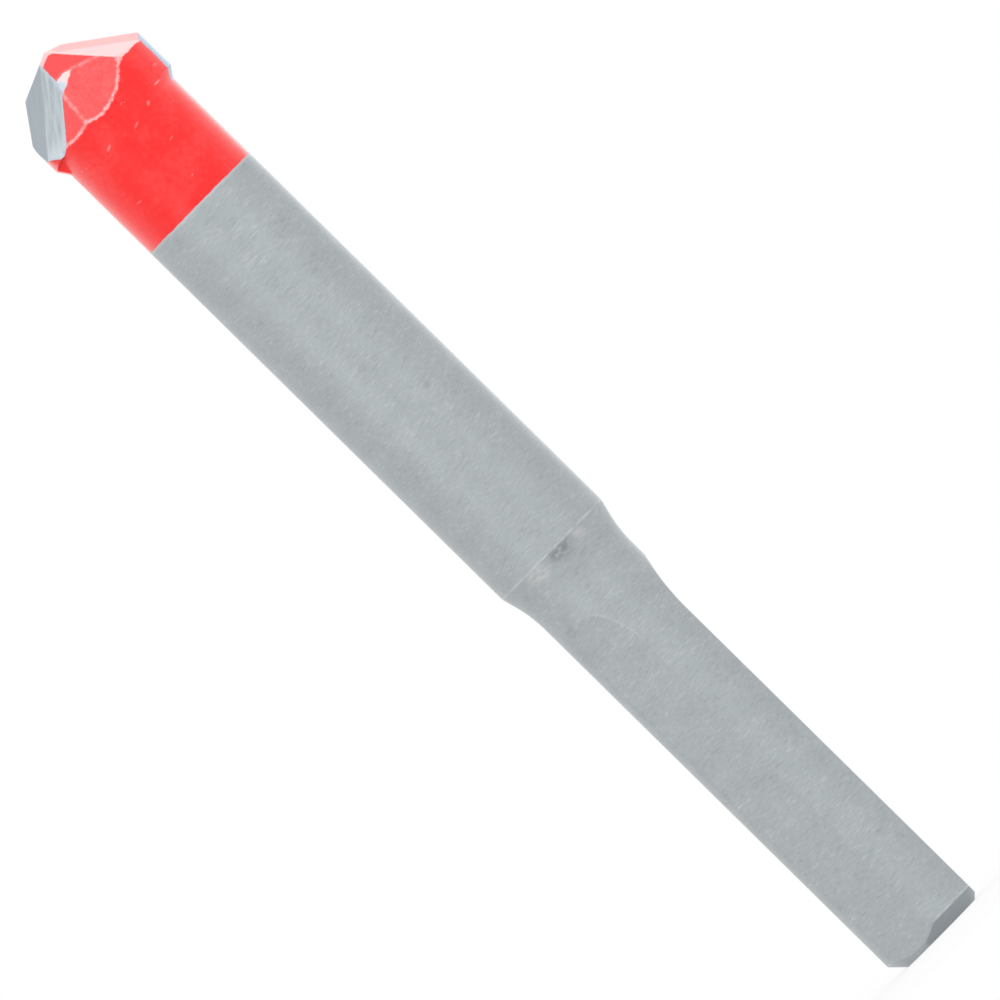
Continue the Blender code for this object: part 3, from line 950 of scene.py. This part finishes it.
def shank_material():
    """Lacquer above the paint's edge and blasted steel below it."""
    material, tree, shader = new_material("blasted_steel_and_red_lacquer", STEEL)
    steel, steel_grain = blasted_steel(tree)
    steel = chamfer_shade_and_edge_highlights(tree, smudges_and_painted_light(tree, steel))
    over_end = combine(tree, "SUBTRACT", axis_place(tree, "Z", MM), PAINT_END)
    edge = pushed(tree, over_end, *PAINT_WANDER)
    painted = spread(tree, edge, *PAINT_FADE)
    steel = blend_colour(tree, spread(tree, edge, *EDGE_HIGHLIGHT_BAND), steel, PAINT_EDGE_HIGHLIGHT)
    swing = (STEEL_ROUGHNESS - ROUGHNESS_SWING, STEEL_ROUGHNESS + ROUGHNESS_SWING)
    steel_roughness = spread(tree, steel_grain, 0.3, 0.7, *swing, "LINEAR")
    heights = share(tree, (steel_grain, 1.0), (painted, PAINT_THICKNESS))
    wire(
        tree, shader,
        Base_Color=blend_colour(tree, painted, steel, lacquer_red(tree)),
        Metallic=spread(tree, painted, 0.0, 1.0, STEEL_METAL, 0.0, "LINEAR"),
        Roughness=add(tree, "Mix", {0: painted, 2: steel_roughness, 3: LACQUER_ROUGHNESS}).outputs[0],
        Normal=add(tree, "Bump", {"Height": heights, **SHANK_BUMP}).outputs[0],
    )
    set_gloss(tree, shader, painted)
    return material


shank.data.materials.append(shank_material())
print("paint ends", round(PAINT_END, 2), "mm over the shank end")

# %% [markdown]
# ## The head's finish
#
# The lacquer went on over the whole head, and then the left faces were ground bare and the others scuffed.
# So one material carries red lacquer, whose reds on the cheeks, the web and the leading face are painted
# light and shade, hazed pink where the coat is rubbed thin, with a painted reflection and highlight on the
# flank, a near-white painted highlight on the scuff, whitish lines where it is worn off the ground edges, and
# bare carbide with painted highlights along its edges and painted shade on its bevel. Flat coats with sharp
# borders would look like stickers. Each finish here starts at one of the mesh's distances, pushed about by
# noise so that no line is ruled.

# %% The borders between the head's finishes
# For each distance that the mesh carries: the size and the reach, in mm, of the noise that pushes it about,
# the noise's offset, so that no two borders wander alike, and the distances at which the finish starts and is
# full
BORDERS = {
    "web": (0.5, 0.08, (2.0, 2.0, 6.0), (-0.10, 0.12)),
    "ridge_gap": (0.4, 0.12, (2.0, 4.0, 4.0), (0.30, 0.03)),
    "edge_gap": (0.35, 0.20, (4.0, 1.0, 2.0), (0.21, 0.05)),
    "rim": (0.4, 0.06, (7.0, 1.0, 4.0), (-0.04, 0.08)),
    "flank": (0.35, 0.10, NO_OFFSET, (-0.04, 0.06)),
    "tip_gap": (0.35, 0.06, (3.0, 3.0, 3.0), (0.46, 0.34)),
    "scuff": (0.35, 0.12, (1.0, 7.0, 2.0), (-0.05, 0.06)),
    "nook": (0.0, 0.0, NO_OFFSET, (-0.1, 0.1)),
    "shadow": (0.3, 0.04, NO_OFFSET, (-0.03, 0.05)),
    "bare": (0.25, 0.07, NO_OFFSET, (-0.02, 0.03)),
    "strip": (0.45, 0.28, (2.0, 9.0, 1.0), (-0.03, 0.04)),
    "bevel": (0.0, 0.0, NO_OFFSET, (0.03, -0.03)),
}


def border(tree, name):
    """A distance that the mesh carries, pushed about by noise."""
    size, reach, offset, _ = BORDERS[name]
    distance = field(tree, name)
    return pushed(tree, distance, size, reach, offset) if reach else distance


def past(tree, name, strength=1.0, distance=None):
    """0 before a border, then up to the finish's strength past it."""
    start, full = BORDERS[name][3]
    distance = border(tree, name) if distance is None else distance
    return spread(tree, distance, start, full, 0.0, strength)


def worn_line(tree, name, strength):
    """A pale line on both sides of an edge, from the distance to it."""
    gone, full = BORDERS[name][3]
    return line_at(tree, border(tree, name), 0.0, full, gone, strength)


print("borders between the head's finishes:", len(BORDERS))

# %% The reds of the cheeks, the web and the round: painted light and shade of one red
# The cheeks and the web are painted lighter than the round's red and the leading face deeper: painted light
# and shade, as the faces tilt towards the lamps or away
CHEEK_LIT_RED = (1.0, 0.07, 0.07)
CHEEK_PALE = (1.0, 0.17, 0.17)
LEADING_SHADED_RED = (1.0, 0.045, 0.045)
CHEEK_RIDGE = (-1.5, -1.7, 0.0, 0.6)  # x in mm between which the cheek turns into the leading face's deeper red, a painted shade
WEB_LIT_RED = (1.0, 0.068, 0.072)
WORN_PINK = (1.0, 0.53, 0.53)
SEAM_LINE = (0.02, 0.26, 0.42)  # full and gone, in mm, and strength of the line between web and cheek
RIDGE_STRENGTH = 0.55


def face_reds_lit_and_shaded(tree):
    """Cheek, leading face and web in their own reds, painted lighter or deeper by how the faces tilt to the
    light, with pale lines where they meet, then the round.
    """
    clouds = cloud(tree, 0.8, 0.3, 0.7, offset=(6.0, 2.0, 3.0))
    mist = cloud(tree, 0.28, 0.35, 0.70, detail=2.0, offset=(1.0, 8.0, 3.0))
    colour = blend_colour(tree, share(tree, (clouds, 0.30), (mist, 0.35)), CHEEK_LIT_RED, CHEEK_PALE)
    leading = spread(tree, axis_place(tree, "X", MM), *CHEEK_RIDGE)
    colour = blend_colour(tree, leading, colour, LEADING_SHADED_RED)
    web = border(tree, "web")
    colour = blend_colour(tree, past(tree, "web", distance=web), colour, WEB_LIT_RED)
    seam = times(tree, line_at(tree, web, 0.0, *SEAM_LINE), spread(tree, clouds, 0.1, 0.8, 0.4, 1.0))
    colour = blend_colour(tree, seam, colour, WORN_PINK)
    ridge = worn_line(tree, "ridge_gap", RIDGE_STRENGTH)
    ridge = times(tree, ridge, spread(tree, clouds, 0.2, 0.8, 0.3, 1.0))
    colour = blend_colour(tree, ridge, colour, WORN_PINK)
    return blend_colour(tree, past(tree, "rim"), colour, lacquer_red(tree)), mist


# %% Worn edges, the hazed flank and the scuff
EDGE_STRENGTH = 0.9  # of the pale line along the worn edge of the cheek
# Where the coat is worn through at corners, like the nicks
WORN_CORNERS = (
    (3.66, 96.92, 0.42, 0.26, -40.0, 0.8), (-1.80, 95.20, 0.34, 0.26, 30.0, 0.7),
    (-1.72, 97.00, 0.30, 0.20, 0.0, 0.3), (-1.70, 96.30, 0.24, 0.16, 60.0, 0.3),
)
# The flank's pale pink: a coat rubbed thin, lightened as a painted reflection of the white room, and its
# lighter band and the tip are painted highlights
HAZE_AND_REFLECTION = (1.0, 0.44, 0.44)
HAZE_AND_HIGHLIGHT = (1.0, 0.625, 0.625)
FLANK_SEAM = (-2.0, -1.9)  # y in mm between which the flank's lighter band, a painted highlight on the land that faces up, turns into the deeper one
# The scuff's near-white is a painted highlight on a small bright facet that the skin doesn't have, and its
# bluish foot is bare carbide
SCUFF_HIGHLIGHT = (1.0, 0.76, 0.76)
SCUFF_FOOT = (0.62, 0.74, 0.84)
FOOT_LINE = (48.72, 48.42)  # x plus half of z, in mm, where the scuff's bluish foot starts and is full


def worn_hazed_and_highlit(tree, colour, mist):
    """The pale edge line and corners, then the flank's haze in two bands with a painted reflection and a
    painted highlight, the hazed tip with a painted highlight, and the scuff, whose near-white is a painted
    highlight.
    """
    worn = times(tree, worn_line(tree, "edge_gap", EDGE_STRENGTH), spread(tree, mist, 0.0, 0.8, 0.5, 1.0))
    colour = blend_colour(tree, most(tree, worn, spots(tree, WORN_CORNERS)), colour, WORN_PINK)
    y = pushed(tree, axis_place(tree, "Y", MM), 0.3, 0.08, (5.0, 1.0, 1.0))
    haze = blend_colour(tree, spread(tree, y, *FLANK_SEAM), HAZE_AND_HIGHLIGHT, HAZE_AND_REFLECTION)
    colour = blend_colour(tree, past(tree, "flank"), colour, haze)
    colour = blend_colour(tree, past(tree, "tip_gap"), colour, HAZE_AND_HIGHLIGHT)
    z = pushed(tree, axis_place(tree, "Z", MM), 0.25, 0.25, (1.0, 1.0, 5.0))
    foot = spread(tree, share(tree, (z, 0.5), (axis_place(tree, "X", MM), 1.0)), *FOOT_LINE)
    scuffed = blend_colour(tree, foot, SCUFF_HIGHLIGHT, SCUFF_FOOT)
    return blend_colour(tree, past(tree, "scuff"), colour, scuffed)


print("corners worn through to the pink:", len(WORN_CORNERS))

# %% Bare ground carbide
# The paler greys at the low end and along the edges are painted highlights, and the bevel's darker grey is
# painted shade
CARBIDE = (0.41, 0.465, 0.50)
CARBIDE_LIGHT = (0.56, 0.615, 0.645)
CARBIDE_BEVEL_SHADE = (0.355, 0.405, 0.445)
CARBIDE_EDGE_HIGHLIGHT = (0.56, 0.66, 0.75)
PALE_EDGE = (0.30, 0.12, 0.0, 0.8)  # from and to these mm inside the bare faces the painted edge highlight goes from none to most
CARBIDE_END_HIGHLIGHT = (0.66, 0.72, 0.765)
LOW_END = (96.4, 94.9, 0.0, 0.85)  # z in mm between which the painted highlight at the low end goes from none to most of the face
RIDGE_TILT = math.radians(40.0)  # of the ridge down the left face, from the axis towards -X
WHEEL_STREAK = (0.30 * MM, 0.9 * MM, 3.2 * MM)
SPECKLE = (0.09 * MM,) * 3


def ground_carbide(tree):
    """Colour and grain of carbide ground with a diamond wheel: streaks along the ridge, a painted highlight
    towards the low end and along the edges, and painted shade on the bevel.
    """
    streaks = grain(tree, WHEEL_STREAK, 3.0, (0.0, -RIDGE_TILT, 0.0))
    tone = share(tree, (streaks, 0.75), (grain(tree, SPECKLE, 1.0), 0.25))
    face = blend_colour(tree, spread(tree, tone, 0.36, 0.62), CARBIDE, CARBIDE_LIGHT)
    low_end = spread(tree, axis_place(tree, "Z", MM), *LOW_END)
    face = blend_colour(tree, low_end, face, CARBIDE_END_HIGHLIGHT)
    from_edge = pushed(tree, field(tree, "bare"), 0.3, 0.06)
    face = blend_colour(tree, spread(tree, from_edge, *PALE_EDGE), face, CARBIDE_EDGE_HIGHLIGHT)
    bevel = blend_colour(tree, spread(tree, tone, 0.3, 0.7, 0.0, 0.5), CARBIDE_BEVEL_SHADE, CARBIDE)
    return blend_colour(tree, past(tree, "bevel"), bevel, face), tone


print("the wheel's streaks lean", round(math.degrees(RIDGE_TILT)), "degrees off the axis")

# %% The head's material
CARBIDE_ROUGHNESS = 0.42
CARBIDE_METAL = 0.75
STRIP_BLUE = (0.42, 0.54, 0.67)
SHADOW_RED = (0.45, 0.02, 0.03)
SHADOW_STRENGTH = 0.55
# Painted shade in the nook under the left face's end
NOOK_SHADE_RED = (0.95, 0.012, 0.012)
NOOK_SHADE_STRENGTH = 0.85
HEAD_BUMP = {"Strength": 0.4, "Distance": 0.01 * MM}
GRAIN_HEIGHT, COAT_HEIGHT = 0.8, 1.5  # of the carbide's grain and of the lacquer, as shares of the bump


def head_material():
    """Lacquer and bare carbide, parted where the mesh's field of bare faces crosses zero."""
    material, tree, shader = new_material("ground_carbide_and_worn_lacquer", RED)
    red = worn_hazed_and_highlit(tree, *face_reds_lit_and_shaded(tree))
    red = blend_colour(tree, past(tree, "nook", NOOK_SHADE_STRENGTH), red, NOOK_SHADE_RED)
    red = blend_colour(tree, past(tree, "shadow", SHADOW_STRENGTH), red, SHADOW_RED)
    carbide, ground = ground_carbide(tree)
    faces, strip = past(tree, "bare"), past(tree, "strip")
    colour = blend_colour(tree, strip, blend_colour(tree, faces, red, carbide), STRIP_BLUE)
    bare = most(tree, faces, strip)
    heights = share(tree, (ground, GRAIN_HEIGHT), (bare, -COAT_HEIGHT))
    wire(
        tree, shader,
        Base_Color=colour,
        Metallic=spread(tree, bare, 0.0, 1.0, 0.0, CARBIDE_METAL, "LINEAR"),
        Roughness=spread(tree, bare, 0.0, 1.0, LACQUER_ROUGHNESS, CARBIDE_ROUGHNESS, "LINEAR"),
        Normal=add(tree, "Bump", {"Height": heights, **HEAD_BUMP}).outputs[0],
    )
    set_gloss(tree, shader, combine(tree, "SUBTRACT", 1.0, bare))
    return material


head.data.materials.append(head_material())
print("the head's material has", len(head.data.materials[0].node_tree.nodes), "nodes")

# %% [markdown]
# ## Joining the skins to the model
#
# Each skin stands for its imported solid and rides on the one body, which carries the whole bit.

# %% Replace the solids
for piece, node in ((shank, "steel_shank"), (head, "carbide_head")):
    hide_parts(node)
    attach(piece, "root")
    print(piece.name, "stands for", node)

# %% [markdown]
# ## Floor and light
#
# A pale round floor carries the bit and its soft shadow. The light is a white room with three large soft
# lamps: a key lamp high in front on the right, a fill low in front on the left, and one behind. Matt metal
# shows a blurred picture of what is round it. The lamps in front and behind add light there and not at the
# sides, which gives the shank its faint darker bands. The camera sees floor and room as white, which could
# also be done with more light, but that would bleach the bit.

# %% What the camera looks at
def looked_at(tree):
    """1 for light seen directly, in a mirror or through glass, and 0 for light on matt surfaces."""
    path = add(tree, "LightPath", {}).outputs
    return most(tree, path["Is Camera Ray"], path["Is Glossy Ray"], path["Is Transmission Ray"])


# %% The floor
FLOOR_RADIUS = 0.11
FLOOR_CORNERS = 96
FLOOR_COLOUR = (0.93, 0.93, 0.93)
FLOOR_ROUGHNESS = 0.9
FLOOR_WHITE = 0.7  # how much of the floor is plain white to the camera; the rest takes light and shadow
WHITE = (1.0, 1.0, 1.0, 1.0)


def make_floor():
    """A thin round sheet at the height of the shank's end, in a white that leaves the shadow visible."""
    turn = np.linspace(0.0, 2 * math.pi, FLOOR_CORNERS, endpoint=False)
    rim = np.stack([FLOOR_RADIUS * np.sin(turn), -FLOOR_RADIUS * np.cos(turn), 0 * turn], -1)
    mesh = bpy.data.meshes.new("floor")
    mesh.from_pydata(rim.tolist(), [], [list(range(len(rim)))])
    floor = bpy.data.objects.new("floor", mesh)
    bpy.context.scene.collection.objects.link(floor)
    material, tree, shader = new_material("white_floor", FLOOR_COLOUR)
    shader.inputs["Base Color"].default_value = (*FLOOR_COLOUR, 1.0)
    shader.inputs["Roughness"].default_value = FLOOR_ROUGHNESS
    glow = add(tree, "Emission", {"Color": WHITE, "Strength": 1.0}).outputs[0]
    part_white = times(tree, looked_at(tree), FLOOR_WHITE)
    mixed = add(tree, "MixShader", {0: part_white, 1: shader.outputs[0], 2: glow}).outputs[0]
    tree.links.new(mixed, tree.nodes["Material Output"].inputs["Surface"])
    mesh.materials.append(material)


make_floor()
print("the floor is", round(2 * FLOOR_RADIUS, 2), "m across")

# %% The room
ROOM_LEVEL = 0.90


def make_room():
    """World light: white to the camera and in mirrored light, a little lower as light on matt surfaces."""
    world = bpy.data.worlds.new("white_room")
    bpy.context.scene.world = world
    world.use_nodes = True
    tree = world.node_tree
    light = tree.nodes["Background"]
    light.inputs["Color"].default_value = WHITE
    wire(tree, light, Strength=spread(tree, looked_at(tree), 0.0, 1.0, ROOM_LEVEL, 1.0, "LINEAR"))


make_room()
print("the room lights matt surfaces at", ROOM_LEVEL)

# %% The lamps
AIM = (0.0, 0.0, 0.055)
# Name, place in metres, width and height in metres, and brightness as a share of a white wall
LAMPS = (
    ("key_lamp", (0.30, -0.50, 0.36), (0.50, 0.40), 0.85),
    ("fill_lamp", (-0.32, -0.50, 0.02), (0.34, 0.34), 0.50),
    ("back_lamp", (0.10, 0.60, 0.25), (0.60, 0.50), 0.9),
)


def make_lamp(name, place, size, brightness):
    """A soft lamp aimed at the bit. Its power is brightness times pi times its area."""
    data = bpy.data.lights.new(name, "AREA")
    data.shape = "RECTANGLE"
    data.size, data.size_y = size
    data.energy = brightness * math.pi * size[0] * size[1]
    lamp = bpy.data.objects.new(name, data)
    bpy.context.scene.collection.objects.link(lamp)
    lamp.location = place
    toward = np.array(AIM) - np.array(place)
    distance = float(np.linalg.norm(toward))
    across = math.atan2(toward[1], toward[0]) - math.pi / 2
    lamp.rotation_euler = (math.acos(-toward[2] / distance), 0.0, across)
    lamp.visible_camera = False
    print(name, "stands", round(distance, 2), "m away")


for lamp in LAMPS:
    make_lamp(*lamp)

# %% [markdown]
# ## View settings
#
# The colours are shown as they are written, without a film look. The skins must not be larger than the
# solids.

# %% View settings
bpy.context.scene.view_settings.view_transform = "Standard"
